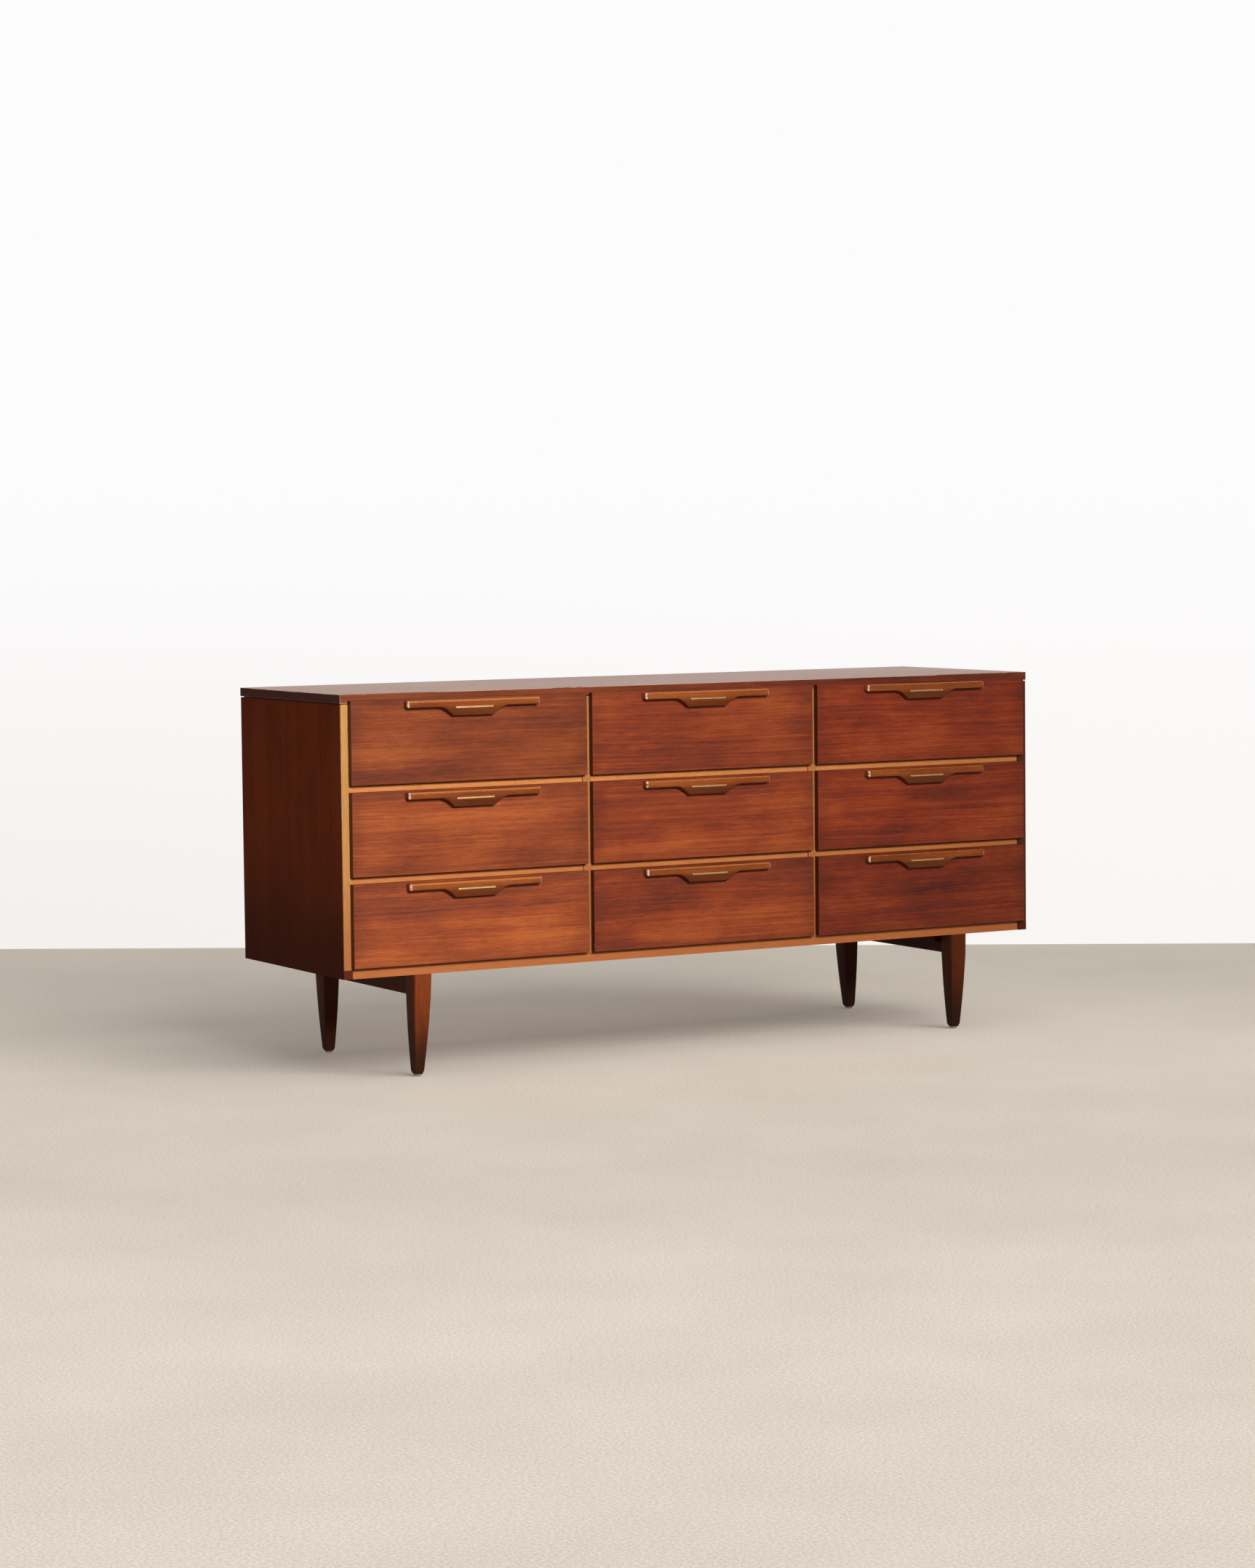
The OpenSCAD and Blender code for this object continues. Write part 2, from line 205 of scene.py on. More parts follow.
def wood(name, axis, seed, tones, figure=1.0, roughness=0.42, shade=None, specular=0.22):
    """Wood with its grain along an axis: soft clouds, bands, growth lines, mottle, fibres and pores.
    tones are dark, middle and light; shade(tree, colour) may tint the finished colour by place."""
    tree = Tree(name)
    stretch = grain_space(tree, axis, seed)
    clouds = tree.noise(stretch(3.6, 9.0), detail=4.0, roughness=0.6)
    bands = tree.noise(stretch(0.9, 26.0), detail=4.0, roughness=0.6, distortion=0.4)
    lines = tree.noise(stretch(1.8, 190.0), detail=3.0, roughness=0.75)
    mottle = tree.noise(stretch(34.0, 260.0), detail=4.0, roughness=0.75)
    fibres = tree.noise(stretch(38.0, 1300.0), detail=2.0, roughness=0.6)
    pores = tree.rescale(tree.noise(stretch(70.0, 1700.0), detail=1.0), 0.60, 0.72)
    mixed = 0.0
    for part, weight in ((clouds, 0.40), (bands, 0.18), (lines, 0.28), (mottle, 0.14)):
        mixed = tree.plus(tree.times(part, weight), mixed)
    spread = tree.times(tree.minus(mixed, 0.5), FIGURE_CONTRAST * figure)
    tone = tree.math("ADD", spread, 0.5, clamp=True)
    colour = tree.ramp(tone, ((0.0, tones[0]), (0.5, tones[1]), (1.0, tones[2])))
    fibre_shade = tree.rescale(fibres, 0.3, 0.7, 0.84, 1.12)
    colour = tree.mix(1.0, colour, fibre_shade, "MULTIPLY")
    pore_colour = (*(0.35 * part for part in tones[0]), 1)
    colour = tree.mix(tree.times(pores, 0.35), colour, pore_colour)
    if shade:
        colour = shade(tree, colour)
    gloss = tree.plus(roughness - 0.5 * GLOSS_SWING, tree.times(mixed, GLOSS_SWING))
    relief = tree.minus(tree.times(fibres, 0.5), tree.times(pores, 0.9))
    return tree.finish(colour, gloss, relief, GRAIN_RELIEF, Specular_IOR_Level=specular)


def worn_edge(name, axis, seed, base, bare, share=0.5, specular=0.3, shade=None):
    """The rubbed arris of a board: patches of bare wood through the finish."""
    tree = Tree(name)
    stretch = grain_space(tree, axis, seed)
    patches = tree.noise(stretch(9.0, 40.0), detail=3.0, roughness=0.65)
    worn = tree.rescale(patches, 0.66 - 0.3 * share, 0.76 - 0.3 * share)
    colour = tree.mix(worn, (*base, 1), (*bare, 1))
    if shade:
        colour = shade(tree, colour)
    return tree.finish(colour, EDGE_ROUGHNESS, patches, EDGE_RELIEF, Specular_IOR_Level=specular)


# ---- Materials ----

GRAIN_X, GRAIN_Y, GRAIN_Z = 0, 1, 2
FRONT_TONES = {
    "left": ((0.12, 0.027, 0.015), (0.27, 0.054, 0.016), (0.43, 0.105, 0.026)),
    "centre": ((0.11, 0.022, 0.013), (0.27, 0.045, 0.014), (0.43, 0.092, 0.023)),
    "right": ((0.08, 0.015, 0.010), (0.25, 0.034, 0.011), (0.40, 0.074, 0.019)),
}
# Lightness of each front, top to bottom: partly its own veneer, partly painted light, brighter low on the
# left and darker low on the right.
FRONT_TONE_AND_LIGHT = {"left": (0.92, 1.10, 1.25), "centre": (1.00, 1.02, 0.98), "right": (1.04, 1.0, 0.80)}
TOP_TONES = ((0.09, 0.020, 0.012), (0.18, 0.040, 0.020), (0.28, 0.074, 0.034))
SIDE_TONES = ((0.14, 0.023, 0.006), (0.27, 0.045, 0.011), (0.38, 0.075, 0.019))
CORNER_TONES = ((0.06, 0.012, 0.005), (0.12, 0.022, 0.009), (0.17, 0.034, 0.013))
LIPPING_TONES = ((0.40, 0.180, 0.052), (0.62, 0.300, 0.090), (0.76, 0.420, 0.145))
EDGE_TONES = ((0.50, 0.170, 0.048), (0.72, 0.270, 0.080), (0.84, 0.380, 0.130))
INNER_TONES = ((0.24, 0.130, 0.060), (0.36, 0.210, 0.100), (0.46, 0.290, 0.150))
BOX_TONES = ((0.34, 0.180, 0.080), (0.52, 0.310, 0.150), (0.66, 0.430, 0.230))
LEG_TONES = ((0.10, 0.018, 0.005), (0.24, 0.048, 0.011), (0.34, 0.080, 0.019))
PULL_TONES = ((0.12, 0.025, 0.006), (0.28, 0.064, 0.014), (0.42, 0.115, 0.025))
# Painted highlight band under each pull's top edge, by column.
PULL_HIGHLIGHT_BANDS = {"left": (3 * MM, 7 * MM), "centre": (2 * MM, 5.5 * MM), "right": (1.5 * MM, 4 * MM)}
# Painted reflection: how bright each column's inlay is.
INLAY_PAINTED_SHEEN = {"left": 0.86, "centre": 0.62, "right": 0.58}

RUBBED_VENEER = (0.46, 0.20, 0.10)
# Pale arris colour of the top: rubbed wood and a painted highlight.
RUBBED_AND_HIGHLIT_TOP = (0.60, 0.36, 0.26)
RUBBED_LIPPING = (0.80, 0.56, 0.32)
RIM_STAIN = (0.05, 0.012, 0.008, 1)
# Painted shade for the end faces of the fronts.
FRONT_END_SHADE = (0.035, 0.005, 0.002, 1)
# Painted shade for the right end of the edge strips.
RIGHT_FALLOFF_SHADE = (0.34, 0.090, 0.026, 1)
LOW_STRIP = (0.38, 0.092, 0.026, 1)
LAST_UPRIGHT = (0.07, 0.014, 0.007, 1)
BROWN_LIPPING = (0.40, 0.105, 0.030, 1)
TOP_END_DARK = (0.09, 0.010, 0.003, 1)
BROWN_TOP = (0.30, 0.088, 0.030, 1)
RIGHT_LEG_DARK = (0.04, 0.009, 0.004, 1)
REAR_LEG_SHADE = (0.03, 0.007, 0.003, 1)
FOOT_DARK = (0.02, 0.008, 0.004, 1)
LOW_SIDE_DARK = (0.05, 0.010, 0.003, 1)
# Painted highlight colour for the pulls' top edges.
PULL_HIGHLIGHT = (0.66, 0.235, 0.060, 1)
PULL_LOW_DARK = (0.06, 0.010, 0.002, 1)
PULL_BARE_AND_GLINT = (0.86, 0.62, 0.42, 1)
BRASS = (1.0, 0.58, 0.27)
BRASS_EDGE_SHADE = (0.14, 0.045, 0.015, 1)
# Steel of the glides, darkened as painted contact shadow under the toes.
GLIDE_STEEL_AND_SHADE = (0.34, 0.33, 0.31)
SCREW_STEEL = (0.55, 0.53, 0.50)


def aged_rim_and_end_shade(centre, half, width=28 * MM, strength=0.22):
    """Darkens a front towards its rim, where old varnish gathers, and paints shade, much darker, on its end
    faces.
    """

    def shade(tree, colour):
        x, _, z = tree.split(tree.place())
        from_x = tree.minus(half[0], tree.distance(x, centre[0]))
        from_z = tree.minus(half[1], tree.distance(z, centre[1]))
        near = tree.math("MINIMUM", from_x, tree.times(from_z, 1.5))
        uneven = tree.times(tree.noise(tree.place(), detail=2.0, scale=14.0), 30 * MM)
        rim = tree.rescale(tree.minus(near, uneven), -10 * MM, width, 1.0, 0.0)
        colour = tree.mix(tree.times(rim, strength), colour, RIM_STAIN)
        # Painted shade on the end faces.
        end_shade = tree.rescale(from_x, 0.6 * MM, 0.2 * MM, 0.0, 0.85)
        return tree.mix(end_shade, colour, FRONT_END_SHADE)

    return shade


def front_wood(row, col):
    low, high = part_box(f"drawer_front_{row}_{col}")
    middle, half = (low + high) / 2, (high - low) / 2
    shade = aged_rim_and_end_shade((middle.x, middle.z), (half.x, half.z))
    seed = 1 + ROWS.index(row) + 3 * COLS.index(col)
    # The front's veneer tone, with painted light mixed in.
    tone_and_light = FRONT_TONE_AND_LIGHT[col][ROWS.index(row)]
    tones = [tuple(tone_and_light * part for part in tone) for tone in FRONT_TONES[col]]
    return wood(f"front_veneer_{row}_{col}", GRAIN_X, seed, tones, figure=1.7, shade=shade)


def fade_to_right(tree, colour):
    """Edge strips are a little browner to the right, as painted shade where the light falls off, and
    browner towards the floor.
    The last upright, from the inner face of the right side panel on, is stained dark."""
    x, _, z = tree.split(tree.place())
    # Painted shade: darker towards the right, where less light reaches.
    colour = tree.mix(tree.rescale(x, -0.85, 0.8, 0.0, 0.20, smooth=False), colour, RIGHT_FALLOFF_SHADE)
    colour = tree.mix(tree.rescale(z, 0.57, 0.24, 0.0, 0.62), colour, LOW_STRIP)
    inner_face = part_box("side_panel_right")[0].x
    upright = tree.rescale(x, inner_face - 5 * MM, inner_face - 1 * MM, 0.0, 0.95)
    return tree.mix(upright, colour, LAST_UPRIGHT)


def lipping_stain(tree, colour):
    """The left upright is bare and pale; the others are browner."""
    x = tree.split(tree.place())[0]
    colour = tree.mix(tree.rescale(x, -0.8, -0.4, 0.0, 0.50), colour, BROWN_LIPPING)
    return fade_to_right(tree, colour)


def end_dark(tree, colour):
    """Darkens the two end faces of the top and the arrises under them."""
    x, _, z = tree.split(tree.place())
    _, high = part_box("top_panel")
    from_end = tree.minus(high.x, tree.math("ABSOLUTE", x))
    ends = tree.rescale(from_end, 1.2 * MM, 0.4 * MM)
    under = tree.rescale(z, high.z - 1.4 * MM, high.z - 0.4 * MM, 1.0, 0.3)
    return tree.mix(tree.times(ends, tree.times(under, 0.88)), colour, TOP_END_DARK)


def top_tint(tree, colour):
    """The top is browner to the left, and dark on its two ends."""
    x = tree.split(tree.place())[0]
    colour = tree.mix(tree.rescale(x, 0.3, -0.85, 0.0, 0.35), colour, BROWN_TOP)
    return end_dark(tree, colour)


def leg_tint_and_shade(tree, colour):
    """Legs are darker to the right and towards their feet, and have painted shade on their sides, their
    backs and the rear legs.
    """
    x, y, z = tree.split(tree.place())
    colour = tree.mix(tree.rescale(x, -0.6, 0.6, 0.0, 0.60), colour, RIGHT_LEG_DARK)
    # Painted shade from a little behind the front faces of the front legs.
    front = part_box("leg_front_left")[0].y
    behind = tree.rescale(y, front + 4 * MM, front + 14 * MM, 0.0, 0.60)
    colour = tree.mix(behind, colour, REAR_LEG_SHADE)
    uneven = tree.times(tree.noise(tree.place(), detail=2.0, scale=40.0), 50 * MM)
    low = tree.rescale(tree.plus(z, uneven), 190 * MM, 30 * MM, 0.0, 0.75)
    return tree.mix(low, colour, FOOT_DARK)


def side_darkening(tree, colour):
    """The side panels are darker towards the floor, in soft patches."""
    z = tree.split(tree.place())[2]
    uneven = tree.times(tree.noise(tree.place(), detail=3.0, scale=5.0), 160 * MM)
    low = tree.rescale(tree.plus(z, uneven), 620 * MM, 260 * MM, 0.0, 0.80)
    return tree.mix(low, colour, LOW_SIDE_DARK)


BRUSH_MARKS = (40, 2600, 2600)
BRUSH_RELIEF = 0.04 * MM


def metal(name, colour, roughness, scratch=0.25, metallic=1.0, shade=None):
    """Metal with fine brushing along X and a little tarnish."""
    tree = Tree(name)
    brushed = tree.noise(tree.scaled(tree.place(), BRUSH_MARKS), detail=2.0)
    stains = tree.noise(tree.place(), detail=3.0, scale=60.0)
    tarnish = (*(0.55 * part for part in colour), 1)
    dull = tree.mix(tree.rescale(stains, 0.45, 0.75, 0.0, 0.35), (*colour, 1), tarnish)
    if shade:
        dull = shade(tree, dull)
    gloss = tree.plus(roughness - 0.5 * scratch, tree.times(brushed, scratch))
    return tree.finish(dull, gloss, brushed, BRUSH_RELIEF, Metallic=metallic)


def inlay_edge_shade(middle_z):
    """Painted shade along the upper and lower edges of an inlay, where it meets the timber."""

    def shade(tree, colour):
        z = tree.split(tree.place())[2]
        uneven = tree.times(tree.noise(tree.place(), detail=2.0, scale=110.0), 0.8 * MM)
        aside = tree.plus(tree.distance(z, middle_z), uneven)
        return tree.mix(tree.rescale(aside, 1.7 * MM, 2.1 * MM, 0.0, 0.85), colour, BRASS_EDGE_SHADE)

    return shade


# ---- Mesh pieces ----


def add_piece(name, points, faces, material, body, node, sharp_above=32):
    mesh = bpy.data.meshes.new(name)
    work = bmesh.new()
    corners = [work.verts.new(p) for p in points]
    for face in faces:
        work.faces.new([corners[i] for i in face])
    bmesh.ops.recalc_face_normals(work, faces=work.faces)
    work.to_mesh(mesh)
    work.free()
    mesh.shade_smooth()
    mesh.set_sharp_from_angle(angle=math.radians(sharp_above))
    mesh.materials.append(material)
    piece = bpy.data.objects.new(name, mesh)
    bpy.context.scene.collection.objects.link(piece)
    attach(piece, body)
    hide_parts(node)
    return piece


def loft(rings):
    """Points and faces of a closed form through rings that all have the same number of points."""
    count = len(rings[0])
    points = [p for ring in rings for p in ring]
    faces = []
    for i in range(len(rings) - 1):
        for j in range(count):
            k = (j + 1) % count
            faces.append((i * count + j, i * count + k, (i + 1) * count + k, (i + 1) * count + j))
    last = (len(rings) - 1) * count
    faces.append(tuple(reversed(range(count))))
    faces.append(tuple(range(last, last + count)))
    return points, faces


def join_forms(forms):
    """Several (points, faces) as one."""
    points, faces = [], []
    for more_points, more_faces in forms:
        start = len(points)
        points += more_points
        faces += [tuple(i + start for i in face) for face in more_faces]
    return points, faces


def arc(centre, radius, start, end, steps):
    """Points on an arc in a plane, angles in degrees."""
    angles = [math.radians(start + (end - start) * i / steps) for i in range(steps + 1)]
    return [(centre[0] + radius * math.cos(a), centre[1] + radius * math.sin(a)) for a in angles]


def blend(a, b, share):
    return a + (b - a) * share


def smooth(share):
    share = min(1.0, max(0.0, share))
    return share * share * (3 - 2 * share)


def solids_of(node):
    """Lowest and highest corner of each separate solid in a CAD node."""
    work = bmesh.new()
    work.from_mesh(NODES[node].data)
    bmesh.ops.remove_doubles(work, verts=work.verts, dist=1e-6)
    left, boxes = set(work.verts), []
    while left:
        found, edge = set(), [left.pop()]
        while edge:
            vertex = edge.pop()
            found.add(vertex)
            near = {e.other_vert(vertex) for e in vertex.link_edges} & left
            left -= near
            edge += near
        spots = [v.co for v in found]
        boxes.append(tuple(Vector(pick(s[k] for s in spots) for k in range(3)) for pick in (min, max)))
    work.free()
    return sorted(boxes, key=lambda box: tuple(round(c, 4) for c in box[0]))


# ---- Pulls ----

ARM_H = 14.5 * MM
SWEEP_W = 33 * MM
LOBE_HALF = 46.5 * MM
SCOOP_D = 11 * MM
SCOOP_TOP = 15 * MM
SCOOP_HALF = 44 * MM
SCOOP_BLEND = 7 * MM
END_ROUND = 5 * MM
TOP_ROUND = 4.5 * MM
LOW_ROUND = 2.5 * MM
FACET_TOP = 18.6 * MM
FACET_IN = 3.2 * MM


def pull_stations(half):
    """Places along the right half of a pull, from its middle to its end."""
    lobe = [0, 12 * MM, 24 * MM, SCOOP_HALF - SCOOP_BLEND, SCOOP_HALF - 0.75 * SCOOP_BLEND]
    lobe += [SCOOP_HALF - 0.5 * SCOOP_BLEND, SCOOP_HALF - 0.25 * SCOOP_BLEND, SCOOP_HALF]
    sweep = [LOBE_HALF + SWEEP_W * i / 14 for i in range(15)]
    arm = [blend(sweep[-1], half - END_ROUND, i / 5) for i in range(1, 5)]
    end = [half - END_ROUND + END_ROUND * math.sin(math.radians(a)) for a in (0, 15, 30, 45, 60, 75, 90)]
    return lobe + sweep + arm + end


def pull_section(x, half, depth, lobe_h):
    """Section of a pull at a distance x from its middle: points in (out, down), both positive."""
    x = abs(x)
    sweep = min(1.0, max(0.0, (LOBE_HALF + SWEEP_W - x) / SWEEP_W))
    drop = 1 - math.cos(math.radians(90 * sweep))
    turned = max(0.0, x - (half - END_ROUND)) / END_ROUND
    corner = 1 - math.sqrt(max(0.0, 1 - turned * turned))
    front = depth - END_ROUND * 0.92 * corner
    top = 1.6 * MM * corner
    low = blend(ARM_H, lobe_h, drop) - 2.6 * MM * corner
    break_at = blend(ARM_H - 4 * MM, FACET_TOP, drop)
    facet_in = FACET_IN * drop
    scoop = smooth((SCOOP_HALF - x) / SCOOP_BLEND)
    points = [(0, top)]
    points += arc((front - TOP_ROUND, top + TOP_ROUND), TOP_ROUND, 270, 360, 5)
    points.append((front, break_at))
    points.append((front - 0.35 * facet_in, blend(break_at, low - LOW_ROUND, 0.5)))
    points += arc((front - facet_in - LOW_ROUND, low - LOW_ROUND), LOW_ROUND, 8, 90, 4)
    back = [(0, low), (0, low - 1 * MM), (0, low - 2 * MM), (0, low - 3 * MM), (0, low - 4 * MM)]
    hollow = [
        (SCOOP_D, low),
        (SCOOP_D, SCOOP_TOP + 4 * MM),
        (0.88 * SCOOP_D, SCOOP_TOP + 1.2 * MM),
        (0.6 * SCOOP_D, SCOOP_TOP),
        (0, SCOOP_TOP),
    ]
    points += [(blend(a[0], b[0], scoop), blend(a[1], b[1], scoop)) for a, b in zip(back, hollow)]
    return points


def shape_pull(key, material):
    low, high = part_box(f"drawer_pull_{key}")
    half, depth, lobe_h = (high.x - low.x) / 2, high.y - low.y, high.z - low.z
    middle = (low.x + high.x) / 2
    stations = pull_stations(half)
    stations = [-x for x in reversed(stations[1:])] + stations
    rings = []
    for x in stations:
        section = pull_section(x, half, depth, lobe_h)
        rings.append([(middle + x, high.y - out, high.z - down) for out, down in section])
    points, faces = loft(rings)
    node = f"drawer_pull_{key}"
    add_piece(f"shaped_pull_{key}", points, faces, material, f"drawer_{key}", node, 28)


FIRST_PULL_SEED = 40


def pull_wood(key):
    """Pull timber: a painted highlight along its top edge, darker low down, and pale at its ends
    from rubbed bare wood and a painted glint, more so at the left one."""
    low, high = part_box(f"drawer_pull_{key}")
    middle, half = (low.x + high.x) / 2, (high.x - low.x) / 2
    col = key.split("_")[1]

    def shade(tree, colour):
        x, y, z = tree.split(tree.place())
        uneven = tree.times(tree.noise(tree.place(), detail=2.0, scale=120.0), 3 * MM)
        # Painted highlight along the top edge, wider in the left column.
        from_top = tree.plus(tree.minus(high.z, z), uneven)
        highlight_band = tree.rescale(from_top, *PULL_HIGHLIGHT_BANDS[col], 0.72, 0.0)
        out = tree.rescale(y, low.y + 6 * MM, low.y + 2 * MM)
        colour = tree.mix(tree.times(highlight_band, out), colour, PULL_HIGHLIGHT)
        low_dark = tree.rescale(from_top, 9 * MM, 24 * MM, 0.0, 0.62)
        colour = tree.mix(low_dark, colour, PULL_LOW_DARK)
        # Pale ends: rubbed bare wood, with a painted glint that makes the left end stronger.
        from_end = tree.plus(tree.minus(half, tree.distance(x, middle)), uneven)
        chips = tree.rescale(tree.noise(tree.place(), detail=2.0, scale=150.0), 0.36, 0.52)
        glint_left_more = tree.rescale(tree.minus(x, middle), -100 * MM, 100 * MM, 1.0, 0.45)
        bare = tree.times(tree.rescale(from_end, 4 * MM, 6 * MM, 1.0, 0.0), out)
        bare = tree.times(bare, tree.times(chips, glint_left_more))
        return tree.mix(bare, colour, PULL_BARE_AND_GLINT)

    seed = FIRST_PULL_SEED + KEYS.index(key)
    name = f"pull_timber_{key}"
    return wood(name, GRAIN_X, seed, PULL_TONES, figure=1.2, roughness=0.36, shade=shade, specular=0.16)


def shape_inlay(key, material):
    """Metal bar with round ends and a slightly crowned face."""
    low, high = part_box(f"pull_inlay_{key}")
    centre, half = (low + high) / 2, (high - low) / 2
    rings = []
    crown = ((high.y, 0), (low.y + 0.25 * MM, 0), (low.y + 0.08 * MM, 0.25 * MM), (low.y, 0.7 * MM))
    for out, inset in crown:
        radius = half.z - inset
        reach = half.x - half.z
        outline = arc((reach, 0), radius, -90, 90, 10) + arc((-reach, 0), radius, 90, 270, 10)
        rings.append([(centre.x + x, out, centre.z + z) for x, z in outline])
    points, faces = loft(rings)
    add_piece(f"inlay_bar_{key}", points, faces, material, f"drawer_{key}", f"pull_inlay_{key}")


# ---- Legs and metal fittings ----

LEG_ROUND = 1.4 * MM
FOOT_ROUND = 1.8 * MM
LEG_SWELL = 0.9 * MM


def rounded_ring(low_x, high_x, low_y, high_y, radius, z):
    spots = ((high_x - radius, high_y - radius, 0), (low_x + radius, high_y - radius, 90))
    spots += ((low_x + radius, low_y + radius, 180), (high_x - radius, low_y + radius, 270))
    ring = []
    for x, y, start in spots:
        ring += [(px, py, z) for px, py in arc((x, y), radius, start, start + 90, 5)]
    return ring


def leg_levels(node):
    """(height, lowest x, highest x, lowest y, highest y) at each level of a CAD leg, from the top down."""
    levels = {}
    for vertex in NODES[node].data.vertices:
        levels.setdefault(round(vertex.co.z, 4), []).append(vertex.co)
    found = []
    for z in sorted(levels, reverse=True):
        xs, ys = [c.x for c in levels[z]], [c.y for c in levels[z]]
        found.append((z, min(xs), max(xs), min(ys), max(ys)))
    return found


def shape_leg(node, material):
    """A leg with eased corners, a slight swell down its taper and a rounded toe."""
    levels = leg_levels(node)
    rings = []
    for upper, lower in zip(levels, levels[1:]):
        length = upper[0] - lower[0]
        steps = max(1, round(length / (14 * MM)))
        for i in range(steps):
            share = i / steps
            z, low_x, high_x, low_y, high_y = (blend(a, b, share) for a, b in zip(upper, lower))
            swell = LEG_SWELL * math.sin(math.pi * share) if steps > 5 else 0
            radius = blend(LEG_ROUND, FOOT_ROUND, (levels[0][0] - z) / levels[0][0])
            sides = (low_x - swell, high_x + swell, low_y - swell, high_y + swell)
            rings.append(rounded_ring(*sides, radius, z))
    z, low_x, high_x, low_y, high_y = levels[-1]
    rings.append(rounded_ring(low_x, high_x, low_y, high_y, FOOT_ROUND, z))
    points, faces = loft(rings)
    add_piece(f"turned_{node}", points, faces, material, "case", node)


def lathe(centre, profile, steps=32):
    """Turned form about a vertical axis: profile is (radius, height) from the top down."""
    rings = []
    for radius, height in profile:
        circle = arc((centre[0], centre[1]), radius, 0, 360, steps)[:-1]
        rings.append([(x, y, height) for x, y in circle])
    return loft(rings)


def shape_glides(material):
    forms = []
    for low, high in solids_of("foot_glides"):
        centre, radius = (low + high) / 2, (high.x - low.x) / 2
        profile = [(0.5 * radius, high.z), (radius, high.z - 0.2 * MM), (radius, 0.45 * high.z)]
        profile += [(radius * math.cos(math.radians(a)), 0.45 * high.z * (1 - math.sin(math.radians(a))))
                    for a in (20, 40, 60, 75)]
        profile.append((0.15 * radius, low.z))
        forms.append(lathe(centre, profile))
    points, faces = join_forms(forms)
    add_piece("domed_glides", points, faces, material, "case", "foot_glides")


SLOT_HALF = 0.4 * MM


def slotted_head(centre, outward, radius, height, turn):
    """Two halves of a domed screw head on a disc, with the slot between them.
    outward is +1 for a head that faces along Y, and -1 for one that faces down."""

    def stand(x, y, rise):
        across, along = x * math.cos(turn) - y * math.sin(turn), x * math.sin(turn) + y * math.cos(turn)
        if outward > 0:
            return (centre.x + across, centre.y + rise, centre.z + along)
        return (centre.x + across, centre.y + along, centre.z - rise)

    rim = arc((0, 0), radius, 0, 360, 24)[:-1]
    disc = [[stand(x, y, rise) for x, y in rim] for rise in (0, 0.4 * height)]
    forms = [loft(disc)]
    for side in (1, -1):
        rings = []
        for size, rise in ((1.0, 0.4), (0.93, 0.75), (0.72, 0.95), (0.5, 1.0)):
            start = math.degrees(math.asin(SLOT_HALF / (radius * size)))
            half_ring = arc((0, 0), radius * size, start, 180 - start, 12)
            rings.append([stand(x, side * y, rise * height) for x, y in half_ring])
        forms.append(loft(rings))
    return join_forms(forms)


SCREW_HEAD_H = 1.2 * MM


def shape_screws(name, node, outward, material):
    """Screw heads where the node's screws are; the shanks are hidden in the wood."""
    forms = []
    for i, (low, high) in enumerate(solids_of(node)):
        centre = (low + high) / 2
        radius = (high.x - low.x) / 2
        if outward > 0:
            centre.y = high.y - SCREW_HEAD_H
        else:
            centre.z = low.z + SCREW_HEAD_H
        forms.append(slotted_head(centre, outward, radius, SCREW_HEAD_H, 0.9 * i))
    points, faces = join_forms(forms)
    add_piece(name, points, faces, material, "case", node)


# ---- CAD boards ----


def finish_board(node, material, worn=None, width=1.0 * MM, segments=2):
    """Gives a CAD board its wood, and eases its arrises by width.
    worn is the material of the eased edges."""
    board = NODES[node]
    board.data.materials.clear()
    board.data.materials.append(material)
    if not width:
        return
    weld = board.modifiers.new("weld", "WELD")
    weld.merge_threshold = 1e-6
    bevel = board.modifiers.new("ease", "BEVEL")
    bevel.width = width
    bevel.segments = segments
    bevel.limit_method = "ANGLE"
    bevel.angle_limit = math.radians(40)
    if worn:
        board.data.materials.append(worn)
        bevel.material = 1
    board.modifiers.new("shade", "WEIGHTED_NORMAL")


SLIGHT_SHINE = 0.08


def finish_top():
    gloss = {"roughness": 0.40, "specular": 0.09}
    top = wood("top_veneer", GRAIN_X, 28, TOP_TONES, figure=1.6, shade=top_tint, **gloss)
    # The top's arris is pale partly from rubbed wood and partly as a painted highlight along the edge.
    wear = {"share": 0.75, "specular": 0.15}
    arris = worn_edge("top_arris", GRAIN_X, 29, TOP_TONES[2], RUBBED_AND_HIGHLIT_TOP, shade=end_dark, **wear)
    finish_board("top_panel", top, arris, 1.2 * MM, 3)


def finish_sides():
    gloss = {"roughness": 0.5, "specular": 0.02}
    side = wood("side_veneer", GRAIN_Z, 21, SIDE_TONES, figure=0.9, shade=side_darkening, **gloss)
    arris = worn_edge("side_arris", GRAIN_Z, 22, SIDE_TONES[1], RUBBED_VENEER, share=0.3)
    for node in ("side_panel_left", "side_panel_right"):
        finish_board(node, side, arris)
    gloss = {"roughness": 0.5, "specular": SLIGHT_SHINE}
    corner = wood("corner_wood", GRAIN_Z, 35, CORNER_TONES, figure=0.9, **gloss)
    finish_board("corner_blocks", corner, None, 0.7 * MM)


def finish_inside():
    inner = wood("inner_wood", GRAIN_Y, 23, INNER_TONES, figure=0.7, roughness=0.6)
    for node in ("divider_left", "divider_right", "drawer_runners", "centre_guides", "top_cleats"):
        finish_board(node, inner)
    finish_board("rear_rails", inner, None, 0.6 * MM)
    back = wood("back_wood", GRAIN_Z, 24, INNER_TONES, figure=0.9, roughness=0.65)
    finish_board("back_panel", back, width=0)


